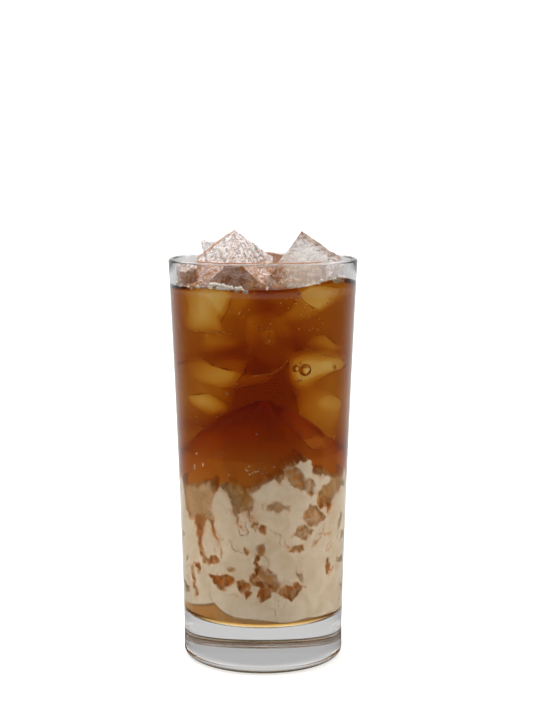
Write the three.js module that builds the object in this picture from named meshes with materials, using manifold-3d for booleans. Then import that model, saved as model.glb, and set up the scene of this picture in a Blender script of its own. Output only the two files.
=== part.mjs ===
// A tall glass of iced coffee: a heavy-based tumbler with a thin layer of syrup on its floor, a heap of cream
// above it, clear coffee over the cream, and the ice that stands out of the coffee.
// Units are millimetres, +Z is up, and the origin is the centre of the ring that the glass stands on.

import * as THREE from "three";
import { mergeVertices } from "three/addons/utils/BufferGeometryUtils.js";
import { RoundedBoxGeometry } from "three/addons/geometries/RoundedBoxGeometry.js";
import Module from "manifold-3d";

const wasm = await Module();
wasm.setup();

// The tumbler
const GLASS_HEIGHT = 150;
const FOOT_RADIUS = 29.9; // outside, where the straight wall starts
const WALL_START = 12; // the height from which the wall opens outwards
const TAPER = 0.0249; // mm of radius for each mm of height
const FLARE = 8.8e-5; // extra opening towards the rim, by the square of the height
const FLOOR_HEIGHT = 17; // the thick base
const WALL_AT_RIM = 1.9;
const WALL_AT_FLOOR = 2.6;
const HEEL_ROUND = 2.4; // rounding under the foot
const FLOOR_ROUND = 1.6; // rounding between the wall and the floor inside
const RING_OUTER = 27.5; // the flat ring that the glass stands on
const RING_INNER = 21.5;
const PUNT = 0.6; // how far the underside rises inside that ring

// The drink
const COFFEE_LEVEL = 140;
const CREAM_EDGE = 68; // mean height of the cream where it meets the wall
const CREAM_HEAP = 14; // how far the cream rises from there to its middle
const SYRUP_EDGE = 2.5; // mean thickness of the syrup where it meets the wall
const SYRUP_BULGE = 4.6; // how much thicker it is at the front left
const GAP = 0.3; // between pieces that touch

// How finely the round pieces are cut
const SECTORS = 48;
const RINGS = 5;
const ARC_STEPS = 4;

const COLOURS = {
  glass: 0xdfe5e4,
  syrup: 0xb4783a,
  cream: 0xbda788,
  coffee: 0x6a2f0a,
  ice: 0xdcdad6,
};

// The ice that stands out of the coffee: size, centre, and turns about X, then Y, then Z, in degrees
const ICE = {
  ice_peak_left: { size: [19.5, 19.5, 19.5], centre: [-10.5, -6.5, 144.4], turn: [45, 35, -90] },
  ice_peak_right: { size: [18, 16, 21], centre: [15.6, -4.8, 145.1], turn: [-22, 32, -13] },
  ice_back_left: { size: [13, 10, 22], centre: [-14.6, 19.4, 147.3], turn: [0, -12, 38] },
  ice_wedge: { size: [9, 10, 17], centre: [4.2, 14.5, 142], turn: [-6, 8, -12] },
  ice_chip_left: { size: [5.5, 6.5, 7.5], centre: [-27.2, -10.4, 143.6], turn: [20, -12, 18] },
  ice_chip_right: { size: [5.8, 3.4, 7], centre: [25.3, -16.6, 144.8], turn: [0, 8, 57] },
};
const ICE_ROUND = 0.07; // rounding of an ice edge, as a share of the piece's shortest side
const ICE_MELT = 0.035; // unevenness of the melted faces, as a share of the size

// The glass wall

function outerRadius(z) {
  const up = Math.max(z - WALL_START, 0);
  return FOOT_RADIUS + TAPER * up + FLARE * up * up;
}

function wallThickness(z) {
  const share = (z - FLOOR_HEIGHT) / (GLASS_HEIGHT - FLOOR_HEIGHT);
  return THREE.MathUtils.lerp(WALL_AT_FLOOR, WALL_AT_RIM, THREE.MathUtils.clamp(share, 0, 1));
}

function innerRadius(z) {
  const wall = outerRadius(z) - wallThickness(z);
  const below = FLOOR_HEIGHT + FLOOR_ROUND - z;
  if (below <= 0) return wall;
  return wall - FLOOR_ROUND + Math.sqrt(Math.max(FLOOR_ROUND ** 2 - below ** 2, 0));
}

// Points of an arc about (r, z), from one angle to another in degrees
function arc(r, z, radius, from, to, steps = ARC_STEPS) {
  return Array.from({ length: steps + 1 }, (_, i) => {
    const angle = THREE.MathUtils.degToRad(from + ((to - from) * i) / steps);
    return new THREE.Vector2(r + radius * Math.cos(angle), z + radius * Math.sin(angle));
  });
}

function tumblerProfile() {
  const bead = wallThickness(GLASS_HEIGHT) / 2; // the rim's half-round
  const rimCentre = outerRadius(GLASS_HEIGHT) - bead;
  const wallHeights = [20, 45, 70, 95, 120];
  const inner = wallHeights.toReversed();
  return [
    new THREE.Vector2(0, PUNT),
    new THREE.Vector2(RING_INNER * 0.6, PUNT * 0.8),
    new THREE.Vector2(RING_INNER, 0),
    new THREE.Vector2(RING_OUTER, 0),
    ...arc(FOOT_RADIUS - HEEL_ROUND, HEEL_ROUND, HEEL_ROUND, -80, 0),
    ...wallHeights.map((z) => new THREE.Vector2(outerRadius(z), z)),
    ...arc(rimCentre, GLASS_HEIGHT - bead, bead, 0, 180),
    ...inner.map((z) => new THREE.Vector2(innerRadius(z), z)),
    ...arc(innerRadius(FLOOR_HEIGHT), FLOOR_HEIGHT + FLOOR_ROUND, FLOOR_ROUND, 0, -90),
    new THREE.Vector2(0, FLOOR_HEIGHT),
  ];
}

function tumbler() {
  return new THREE.LatheGeometry(tumblerProfile(), SECTORS).rotateX(Math.PI / 2);
}

// The layers of the drink

// A smooth bump of height 1 round one bearing, in degrees, that falls to 0 at half the width
function bump(x, y, bearing, width) {
  const away = Math.abs(((THREE.MathUtils.radToDeg(Math.atan2(y, x)) - bearing + 540) % 360) - 180);
  return away > width / 2 ? 0 : 0.5 + 0.5 * Math.cos((2 * Math.PI * away) / width);
}

function syrupTop(x, y) {
  const out = Math.hypot(x, y) / FOOT_RADIUS;
  const ripple = 0.5 * Math.sin(0.16 * x + 1.2) * Math.cos(0.13 * y);
  return FLOOR_HEIGHT + SYRUP_EDGE + ripple + SYRUP_BULGE * bump(x, y, -137, 80) * out;
}

function creamTop(x, y) {
  const out = Math.min(Math.hypot(x, y) / FOOT_RADIUS, 1);
  const lumps =
    11 * bump(x, y, -58, 75) + 4 * bump(x, y, -125, 50) - 9 * bump(x, y, -92, 36) + 7 * bump(x, y, 80, 120);
  const heap = CREAM_HEAP * (0.5 + 0.5 * Math.cos(Math.PI * out));
  return CREAM_EDGE + lumps * out ** 2 + heap;
}

const floorTop = () => FLOOR_HEIGHT;
const coffeeTop = () => COFFEE_LEVEL;

// A layer that fills the glass between two surfaces, each a function of x and y. The lower one is lifted off
// what the layer rests on, and by more where that is steep.
function layer(bottom, top, rows, lift = GAP) {
  const bearings = Array.from({ length: SECTORS }, (_, i) => (2 * Math.PI * i) / SECTORS);
  // A point of a surface at a share of the way out to the wall
  const place = (surface, share, bearing, raised) => {
    const [cos, sin] = [Math.cos(bearing), Math.sin(bearing)];
    const level = surface(FOOT_RADIUS * cos, FOOT_RADIUS * sin);
    const out = (innerRadius(level) - GAP) * share;
    return [out * cos, out * sin, (share === 1 ? level : surface(out * cos, out * sin)) + raised];
  };
  const side = (share, bearing) => {
    const z = THREE.MathUtils.lerp(
      place(bottom, 1, bearing, lift)[2],
      place(top, 1, bearing, 0)[2],
      share,
    );
    const out = innerRadius(z) - GAP;
    return [out * Math.cos(bearing), out * Math.sin(bearing), z];
  };
  // Loops from the middle of the bottom, up the side, to the middle of the top
  const outwards = Array.from({ length: RINGS }, (_, k) => (k + 1) / RINGS);
  const upwards = Array.from({ length: rows - 1 }, (_, k) => (k + 1) / rows);
  const loops = [
    ...outwards.map((share) => bearings.map((bearing) => place(bottom, share, bearing, lift))),
    ...upwards.map((share) => bearings.map((bearing) => side(share, bearing))),
    ...outwards.toReversed().map((share) => bearings.map((bearing) => place(top, share, bearing, 0))),
  ];
  const points = [...loops.flat(), [0, 0, bottom(0, 0) + lift], [0, 0, top(0, 0)]];
  const [below, above] = [points.length - 2, points.length - 1];
  const faces = [];
  for (let sector = 0; sector < SECTORS; sector++) {
    const next = (sector + 1) % SECTORS;
    faces.push(below, next, sector);
    for (let k = 0; k + 1 < loops.length; k++) {
      const [a, b] = [k * SECTORS, (k + 1) * SECTORS];
      // The same way across each field below and above, so that neighbouring layers lie parallel
      if (k < RINGS - 1) faces.push(a + sector, a + next, b + next, a + sector, b + next, b + sector);
      else faces.push(a + sector, a + next, b + sector, a + next, b + next, b + sector);
    }
    faces.push(above, (loops.length - 1) * SECTORS + sector, (loops.length - 1) * SECTORS + next);
  }
  const geometry = new THREE.BufferGeometry();
  geometry.setAttribute("position", new THREE.Float32BufferAttribute(points.flat(), 3));
  geometry.setIndex(faces);
  return geometry;
}

// The ice

// A melted cube: a rounded block whose faces are a little uneven, turned and set in its place
function iceBlock({ size, centre, turn }, grown = 0) {
  const [w, d, h] = size.map((s) => s + 2 * grown);
  const geometry = new RoundedBoxGeometry(w, d, h, 2, ICE_ROUND * Math.min(...size) + grown);
  const position = geometry.getAttribute("position");
  const [cx, cy, cz] = centre;
  for (let i = 0; i < position.count; i++) {
    const [x, y, z] = [position.getX(i), position.getY(i), position.getZ(i)];
    const melt = ICE_MELT * Math.sin(0.31 * x + cx) * Math.cos(0.27 * y + cy + 0.23 * z + cz);
    position.setXYZ(i, x * (1 + melt), y * (1 + melt), z * (1 + melt));
  }
  const turned = new THREE.Euler(...turn.map(THREE.MathUtils.degToRad), "ZYX");
  return geometry
    .applyMatrix4(new THREE.Matrix4().makeRotationFromEuler(turned))
    .translate(...centre);
}

// Cuts

function solidOf(geometry) {
  const bare = geometry.index ? geometry.toNonIndexed() : geometry.clone();
  bare.deleteAttribute("normal");
  bare.deleteAttribute("uv");
  const merged = mergeVertices(bare, 1e-3);
  return new wasm.Manifold(
    new wasm.Mesh({
      numProp: 3,
      vertProperties: merged.getAttribute("position").array,
      triVerts: new Uint32Array(merged.index.array),
    }),
  );
}

function geometryOf(solid) {
  const { numProp, vertProperties, triVerts } = solid.getMesh();
  const geometry = new THREE.BufferGeometry();
  const points = new Float32Array((vertProperties.length / numProp) * 3);
  for (let i = 0; i < points.length / 3; i++)
    points.set(vertProperties.subarray(i * numProp, i * numProp + 3), i * 3);
  geometry.setAttribute("position", new THREE.BufferAttribute(points, 3));
  geometry.setIndex(new THREE.BufferAttribute(triVerts, 1));
  return geometry;
}

function coffee() {
  const body = solidOf(layer(creamTop, coffeeTop, 6, 1.6 * GAP));
  return geometryOf(
    Object.values(ICE).reduce((rest, ice) => rest.subtract(solidOf(iceBlock(ice, GAP))), body),
  );
}

// The whole

const drink = new THREE.Group();

function add(name, geometry, color, roughness) {
  const mesh = new THREE.Mesh(
    geometry,
    new THREE.MeshStandardMaterial({ color, roughness, metalness: 0 }),
  );
  mesh.name = name;
  drink.add(mesh);
}

add("tumbler", tumbler(), COLOURS.glass, 0.05);
add("syrup", layer(floorTop, syrupTop, 2), COLOURS.syrup, 0.2);
add("cream", layer(syrupTop, creamTop, 4), COLOURS.cream, 0.4);
add("coffee", coffee(), COLOURS.coffee, 0.1);
for (const [name, ice] of Object.entries(ICE)) add(name, iceBlock(ice), COLOURS.ice, 0.15);

export default drink;
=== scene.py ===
import math
import random

import bpy
import numpy as np
from mathutils import Euler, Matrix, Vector, noise
from mathutils.bvhtree import BVHTree


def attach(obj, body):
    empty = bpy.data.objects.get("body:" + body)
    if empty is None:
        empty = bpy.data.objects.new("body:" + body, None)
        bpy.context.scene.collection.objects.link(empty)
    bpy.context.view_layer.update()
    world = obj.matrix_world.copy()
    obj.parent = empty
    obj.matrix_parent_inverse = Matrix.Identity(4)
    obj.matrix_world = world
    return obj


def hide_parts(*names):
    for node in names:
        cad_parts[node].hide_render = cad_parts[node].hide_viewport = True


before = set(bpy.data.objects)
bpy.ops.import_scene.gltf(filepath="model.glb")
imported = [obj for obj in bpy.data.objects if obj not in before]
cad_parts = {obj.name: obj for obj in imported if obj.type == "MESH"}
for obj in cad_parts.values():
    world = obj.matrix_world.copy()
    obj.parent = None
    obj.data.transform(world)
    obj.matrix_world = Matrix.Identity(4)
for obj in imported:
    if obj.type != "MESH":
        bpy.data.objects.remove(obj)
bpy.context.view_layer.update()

MM = 0.001
ORIGIN = (0.0, 0.0, 0.0)

# The tumbler, in mm
GLASS_HEIGHT = 150.0
FOOT_RADIUS = 29.9
WALL_START = 12.0
TAPER = 0.0249
FLARE = 8.8e-5
FLOOR_HEIGHT = 17.0
WALL_AT_RIM = 1.9
WALL_AT_FLOOR = 2.6
FLOOR_ROUND = 1.6
RING_INNER = 21.5  # the flat ring that the glass stands on
RING_RISE = 1.3  # the foot is ground up to this height
PUNT = 0.6  # how far the underside lies above the ring
HEEL_WIDTH = 3.0  # the foot curves up from the ring, over this width
HEEL_RISE = 2.6
RIB_DEPTH = 0.06  # of the fine radial ribs under the foot
RIB_OUTER = (28.6, 29.6)  # where they fade out
GLASS_STEPS = 360
DRINK_STEPS = 240
MERGE_DISTANCE = 2e-6  # in metres

# The drink, in mm
COFFEE_LEVEL = 139.8
COFFEE_FLOOR = 27.2  # the coffee ends here, inside the cream
SYRUP_CEILING = 27.8
WALL_REACH = 0.08  # how far the liquids reach into the glass
CREAM_REACH = 0.2  # how far the cream does, where it lies on the glass
MIDDLE_FLAT = 12.0  # out to here the floor of the glass is drawn in one step
UNROLL_RADIUS = 30.0  # of the wall, where it is drawn unrolled

# How strongly things bend light
GLASS_BENDS = 1.5
COFFEE_BENDS = 1.33
COFFEE_TO_ICE = 1.009  # coffee, against the ice in it

# What a metre of drink holds back of red, green and blue light
COFFEE_HOLDS = (28.0, 67.0, 180.0)
SYRUP_HOLDS = (28.0, 110.0, 320.0)

# The photograph's camera, in mm, pixels and degrees
PHOTO_WIDTH = 533
PHOTO_HEIGHT = 710
CAMERA_PLACE = (1.3, -577.8, 189.6)
CAMERA_PITCH = 7.484
LENS = 79.19
SENSOR = 36.0

# The studio's light. Each sweep is the stretch of a direction's X, Y or Z over which the light changes.
SIDE_LIGHT = 12.0
SIDE_SWEEP = (0.78, 0.98)
SIDE_TO_BACK = (-0.1, 0.25)  # the side lights end here, short of the back
KEY_LIGHT = 8.0  # a softbox nearly overhead, a little behind the glass
KEY_DIRECTION = (-0.15, 0.2, 0.968)
KEY_SWEEP = (0.965, 0.985)
FRONT_LIGHT = 0.22
BACK_LIGHT = 0.46
BACK_SWEEP = (-0.5, 0.4)
TOP_LIGHT = 1.05
TOP_SWEEP = (0.35, 0.9)
WARM_SWEEP = (-0.7, 0.1)  # the light from the front is warm
FLOOR_GREY = 0.5
FLOOR_LIFT = 0.62  # light of the floor's own, where the camera sees it
FLOOR_THROUGH = 0.62  # how bright the floor is through the glass
MIRRORED_FRONT = 0.015  # how bright the room behind the camera is in the glass's own reflections
MIRRORED_BACK = 0.85
MIRRORED_TOP = 6.0  # and a row of softboxes high up
MIRRORED_HIGH = (0.25, 0.6)
MIRRORED_SWEEP = (0.3, 1.1)  # how far round towards the back the one gives way to the other


# Small tools


def linear(hex_colour):
    """An sRGB hex colour as the linear values that shaders take."""
    values = [int(hex_colour[i : i + 2], 16) / 255 for i in (1, 3, 5)]
    return tuple(v / 12.92 if v <= 0.04045 else ((v + 0.055) / 1.055) ** 2.4 for v in values) + (1.0,)


def smooth(value, low, high):
    """0 below low, 1 above high, and an even slope between them."""
    t = np.clip((value - low) / (high - low), 0.0, 1.0)
    return t * t * (3.0 - 2.0 * t)


def deselect():
    bpy.ops.object.select_all(action="DESELECT")


def only(piece):
    """Selects one piece and makes it the active one."""
    deselect()
    piece.select_set(True)
    bpy.context.view_layer.objects.active = piece


def edit(piece):
    only(piece)
    bpy.ops.object.mode_set(mode="EDIT")
    bpy.ops.mesh.select_all(action="SELECT")


def leave_edit():
    bpy.ops.object.mode_set(mode="OBJECT")


def apply_place(piece):
    only(piece)
    bpy.ops.object.transform_apply(location=True, rotation=True, scale=True)


def apply_modifier(piece, kind, **settings):
    """Adds a modifier with its settings and applies it."""
    only(piece)
    modifier = piece.modifiers.new(kind.lower(), kind)
    for name, value in settings.items():
        setattr(modifier, name, value)
    bpy.ops.object.modifier_apply(modifier=modifier.name)


def smooth_shading(piece, angle=None):
    only(piece)
    if angle is None:
        bpy.ops.object.shade_smooth()
    else:
        bpy.ops.object.shade_smooth_by_angle(angle=math.radians(angle))


def points_of(piece):
    """The piece's vertices in mm, as an array."""
    mesh = piece.data
    flat = np.empty(len(mesh.vertices) * 3)
    mesh.vertices.foreach_get("co", flat)
    return flat.reshape(-1, 3) / MM


def move_points(piece, points):
    piece.data.vertices.foreach_set("co", (points * MM).ravel())
    piece.data.update()


def normals_of(piece):
    mesh = piece.data
    flat = np.empty(len(mesh.vertices) * 3)
    mesh.vertices.foreach_get("normal", flat)
    return flat.reshape(-1, 3)


def ripple(points, grain, seed=0.0, octaves=1):
    """Soft noise, about -1 to 1, at points in mm, with lumps of the given size."""
    total = np.zeros(len(points))
    for octave in range(octaves):
        scale = 2.0**octave / grain
        shift = Vector((seed, seed * 1.7 + octave, -seed))
        layer = [noise.noise(Vector(p) * scale + shift) for p in points]
        total += np.array(layer) / 2.0**octave
    return total * 1.6


def finish_piece(piece, material, slot, *nodes):
    """Gives a piece its finish, and makes it ride on the drink and stand for CAD nodes."""
    piece.data.materials.append(material)
    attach(piece, "root")
    if nodes:
        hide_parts(*nodes)


# The glass's own shape


def outer_radius(z):
    up = np.maximum(z - WALL_START, 0.0)
    return FOOT_RADIUS + TAPER * up + FLARE * up * up


def wall_thickness(z):
    share = np.clip((z - FLOOR_HEIGHT) / (GLASS_HEIGHT - FLOOR_HEIGHT), 0.0, 1.0)
    return WALL_AT_FLOOR + (WALL_AT_RIM - WALL_AT_FLOOR) * share


def inner_radius(z):
    wall = outer_radius(z) - wall_thickness(z)
    below = np.clip(FLOOR_HEIGHT + FLOOR_ROUND - z, 0.0, FLOOR_ROUND)
    return wall - FLOOR_ROUND + np.sqrt(np.maximum(FLOOR_ROUND**2 - below**2, 0.0))


def arc(r, z, radius, start, end, steps):
    """Points of an arc about (r, z), from one angle in degrees to another."""
    points = []
    for i in range(steps + 1):
        angle = math.radians(start + (end - start) * i / steps)
        points.append((r + radius * math.cos(angle), z + radius * math.sin(angle)))
    return points


def on_axis(z):
    return (0.0, z)


def turned(name, profile, steps):
    """A turned shape: the profile, in mm, is drawn point by point and spun once round the glass's axis."""
    deselect()
    bpy.ops.mesh.primitive_plane_add(size=MM, location=ORIGIN)
    piece = bpy.context.object
    piece.name = name
    edit(piece)
    bpy.ops.mesh.merge(type="CENTER")
    first = profile[0]
    bpy.ops.transform.translate(value=(first[0] * MM, 0.0, first[1] * MM))
    last = first
    for point in profile[1:]:
        step = ((point[0] - last[0]) * MM, 0.0, (point[1] - last[1]) * MM)
        bpy.ops.mesh.extrude_vertices_move(TRANSFORM_OT_translate={"value": step})
        last = point
    bpy.ops.mesh.select_all(action="SELECT")
    bpy.ops.mesh.spin(steps=steps, angle=math.tau, center=ORIGIN, axis=(0.0, 0.0, 1.0))
    bpy.ops.mesh.select_all(action="SELECT")
    bpy.ops.mesh.remove_doubles(threshold=MERGE_DISTANCE)
    bpy.ops.mesh.normals_make_consistent(inside=False)
    leave_edit()
    smooth_shading(piece)
    return piece


# The photograph's view


def ray_through(px, py):
    """The line of sight through a pixel of the photograph."""
    focal = LENS / SENSOR * PHOTO_HEIGHT
    across = (px - PHOTO_WIDTH / 2) / focal
    up = (PHOTO_HEIGHT / 2 - py) / focal
    pitch = math.radians(CAMERA_PITCH)
    forward = Vector((0.0, math.cos(pitch), -math.sin(pitch)))
    above = Vector((0.0, math.sin(pitch), math.cos(pitch)))
    return (forward + across * Vector((1.0, 0.0, 0.0)) + up * above).normalized()


def on_wall(px, py):
    """Where a pixel of the photograph meets the inside of the glass's front wall: a bearing and a height.

    The bearing is in radians from the front, growing to the right. The thick wall bends the line of sight.
    """
    eye = Vector(CAMERA_PLACE)
    ray = ray_through(px, py)
    flat = math.hypot(ray.x, ray.y)
    offset = (eye.x * ray.y - eye.y * ray.x) / flat  # how far the line passes from the axis
    z = 80.0
    for _ in range(4):
        radius = float(outer_radius(z))
        across = max(-0.995, min(0.995, offset / radius))
        near = -(eye.x * ray.x + eye.y * ray.y) / flat - radius * math.sqrt(1.0 - across**2)
        z = eye.z + ray.z * near / flat
    spot_x = eye.x + ray.x * near / flat
    spot_y = eye.y + ray.y * near / flat
    outside = math.atan2(spot_x, -spot_y)
    inside_radius = float(inner_radius(max(z, FLOOR_HEIGHT + FLOOR_ROUND)))
    bend = math.asin(across * radius / (GLASS_BENDS * inside_radius)) - math.asin(across / GLASS_BENDS)
    return outside - bend, z


def in_drink(px, py, travel):
    """The point that a pixel of the photograph shows, a given number of mm into the coffee from the wall."""
    bearing, z = on_wall(px, py)
    eye = Vector(CAMERA_PLACE)
    ray = ray_through(px, py)
    flat = math.hypot(ray.x, ray.y)
    offset = (eye.x * ray.y - eye.y * ray.x) / flat
    radius = float(inner_radius(z))
    turn = math.asin(max(-0.99, min(0.99, offset / (COFFEE_BENDS * radius))))
    travel = min(travel, 2.0 * radius * math.cos(turn) - 3.0)
    along = bearing - turn
    drop = math.tan(math.asin(-ray.z / COFFEE_BENDS))
    x = math.sin(bearing) * radius - math.sin(along) * travel
    y = -math.cos(bearing) * radius + math.cos(along) * travel
    return x, y, z - drop * travel


def unrolled(px, py):
    """A pixel as a place on the unrolled wall, in mm: along the wall and up."""
    bearing, z = on_wall(px, py)
    return bearing * UNROLL_RADIUS, z


# Materials


def add(tree, kind, links=None, **settings):
    """Adds a shader node, sets its properties and its sockets' values, and links what is given to its sockets."""
    node = tree.nodes.new(kind)
    for name, value in settings.items():
        setattr(node, name, value)
    for socket, value in (links or {}).items():
        if isinstance(value, bpy.types.NodeSocket):
            tree.links.new(value, node.inputs[socket])
        else:
            node.inputs[socket].default_value = value
    return node


SOFT = {"interpolation_type": "SMOOTHSTEP"}


def soft_step(value, start, end, low, high):
    """What a Map Range node takes to step from low to high as a value goes from start to end."""
    return {"Value": value, "From Min": start, "From Max": end, "To Min": low, "To Max": high}


def new_material(name):
    """A material with nothing in it but its output."""
    material = bpy.data.materials.new(name)
    material.use_nodes = True
    tree = material.node_tree
    tree.nodes.clear()
    return material, tree, add(tree, "ShaderNodeOutputMaterial")


def clear_material(name, ior, tint="#ffffff", roughness=0.0, absorbs=None, density=0.0, clear=1.0, mirror=1.0):
    """A clear solid or liquid: its surface bends light, and what it holds back by the metre gives its colour.

    mirror is how much it mirrors head-on, against the same surface in air.
    """
    material, tree, output = new_material(name)
    surface = add(
        tree,
        "ShaderNodeBsdfPrincipled",
        {
            "Base Color": linear(tint),
            "Roughness": roughness,
            "IOR": ior,
            "Transmission Weight": clear,
            "Specular Tint": (mirror, mirror, mirror, 1.0),
        },
    )
    tree.links.new(surface.outputs["BSDF"], output.inputs["Surface"])
    if absorbs:
        body = add(
            tree,
            "ShaderNodeVolumeAbsorption",
            {"Color": (*absorbs, 1.0), "Density": density},
        )
        tree.links.new(body.outputs["Volume"], output.inputs["Volume"])
    return material, tree, surface


def passes(holds):
    """The colour that Volume Absorption needs, at a density of the strongest value, to hold this much back."""
    most = max(holds)
    return tuple(1.0 - h / most for h in holds), most


def soda_lime_glass():
    # Pressed soda-lime glass, fire-polished: clear and colourless, with sharp bright edges.
    return clear_material("soda_lime_glass_pressed", GLASS_BENDS)[0]


def wetted_glass():
    # The same glass where a drink lies on it: the two bend light nearly alike, so the face hardly mirrors.
    return clear_material("soda_lime_glass_wetted", GLASS_BENDS, mirror=0.09)[0]


def ground_glass_painted_shade():
    # The ring under the foot, ground, with painted shade in its brown-grey tint: through the base it is a soft
    # brown-grey band.
    return clear_material("soda_lime_glass_ground_painted_shade", GLASS_BENDS, "#64512f", roughness=0.2, clear=0.6)[0]


def brewed_coffee():
    # Strong filtered coffee: clear, amber where it is thin and nearly black-brown where it is deep. It bends
    # light strongly against air and glass, and hardly at all against the ice that lies in it.
    colour, density = passes(COFFEE_HOLDS)
    material, tree, surface = clear_material(
        "brewed_coffee_filtered", COFFEE_BENDS, "#fffaf5", absorbs=colour, density=density, mirror=0.02
    )
    bends = add(tree, "ShaderNodeAttribute", attribute_name="bends").outputs["Fac"]
    tree.links.new(bends, surface.inputs["IOR"])
    return material


def sugar_syrup():
    # Sugar syrup with a little coffee in it: a brighter, yellower amber.
    colour, density = passes(SYRUP_HOLDS)
    return clear_material("sugar_syrup_amber", 1.36, absorbs=colour, density=density, mirror=0.02)[0]


def drowned_ice():
    # Clear ice under the coffee, which has nearly the coffee's own index there, so that only its edges show.
    return clear_material("clear_ice_under_coffee", 1.002)[0]


def melting_ice():
    # Ice cubes melting in air: wet, cloudy in patches, pitted all over, and brown where coffee clings to them.
    material, tree, surface = clear_material("melting_ice_cube", 1.31, roughness=0.03)
    stain = add(tree, "ShaderNodeAttribute", attribute_name="coffee_stain").outputs["Fac"]
    place = add(tree, "ShaderNodeTexCoord").outputs["Object"]
    cloud = add(tree, "ShaderNodeTexNoise", {"Vector": place, "Scale": 700.0, "Detail": 2.0})
    thin = soft_step(cloud.outputs["Fac"], 0.4, 0.6, 0.55, 0.9)
    clear = add(tree, "ShaderNodeMapRange", thin, **SOFT)
    through = add(tree, "ShaderNodeMix", {0: stain, 2: clear.outputs["Result"], 3: 0.7})
    tree.links.new(through.outputs[0], surface.inputs["Transmission Weight"])
    colour = add(tree, "ShaderNodeMix", {0: stain}, data_type="RGBA")
    colour.inputs[6].default_value = linear("#fbfcff")
    colour.inputs[7].default_value = linear("#c07a30")
    tree.links.new(colour.outputs[2], surface.inputs["Base Color"])
    pits = add(tree, "ShaderNodeTexVoronoi", {"Vector": place, "Scale": 1500.0}, feature="F1")
    lumps = add(tree, "ShaderNodeTexNoise", {"Vector": place, "Scale": 700.0, "Detail": 3.0, "Roughness": 0.6})
    relief = add(tree, "ShaderNodeMath", {0: pits.outputs["Distance"], 1: lumps.outputs["Fac"]}, operation="ADD")
    bump = add(tree, "ShaderNodeBump", {"Height": relief.outputs[0], "Strength": 0.45, "Distance": 0.0003})
    tree.links.new(bump.outputs["Normal"], surface.inputs["Normal"])
    return material


def dairy_cream():
    # Cream, poured: opaque, smooth and wet, ivory with warmer streaks where coffee has mixed in.
    material, tree, output = new_material("dairy_cream_poured")
    place = add(tree, "ShaderNodeTexCoord").outputs["Object"]
    streaks = add(
        tree,
        "ShaderNodeTexNoise",
        {"Vector": place, "Scale": 160.0, "Detail": 4.0, "Roughness": 0.55, "Distortion": 0.6},
    )
    ramp = add(tree, "ShaderNodeValToRGB", {"Fac": streaks.outputs["Fac"]})
    ramp.color_ramp.elements[0].position = 0.3
    ramp.color_ramp.elements[0].color = linear("#dac8a8")
    ramp.color_ramp.elements[1].position = 0.62
    ramp.color_ramp.elements[1].color = linear("#e6d9c2")
    # The amber mixed in here is partly coffee soaked into the cream and partly painted shade, in its recesses, edges,
    # creases and on its top; on the glints it is painted light.
    soak_and_painted_light_fac = add(tree, "ShaderNodeAttribute", attribute_name="soak_and_painted_light").outputs["Fac"]
    colour = add(tree, "ShaderNodeMix", {0: soak_and_painted_light_fac, 6: ramp.outputs["Color"]}, data_type="RGBA")
    colour.inputs[7].default_value = linear("#dd9448")
    surface = add(
        tree,
        "ShaderNodeBsdfPrincipled",
        {"Base Color": colour.outputs[2], "Roughness": 0.45, "Specular IOR Level": 0.15},
    )
    tree.links.new(surface.outputs["BSDF"], output.inputs["Surface"])
    return material


def foam_film():
    # Coffee foam: beads of thin film round air, pale where they catch the light.
    return clear_material("coffee_foam_bead", 1.3, tint="#fffaf0", roughness=0.03, clear=0.38)[0]


def coffee_drops():
    # Drops of coffee on the rim: small, wet and reddish brown.
    return clear_material("coffee_drop_dried", 1.33, tint="#a0683a", roughness=0.3, clear=0.2)[0]


def trapped_air():
    # Air bubbles under the coffee: the light bends the other way, so each has a dark rim and a bright heart.
    material, tree, output = new_material("air_bubble_in_coffee")
    surface = add(tree, "ShaderNodeBsdfGlass", {"Roughness": 0.0, "IOR": 0.88})
    tree.links.new(surface.outputs["BSDF"], output.inputs["Surface"])
    return material


# The glass


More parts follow.
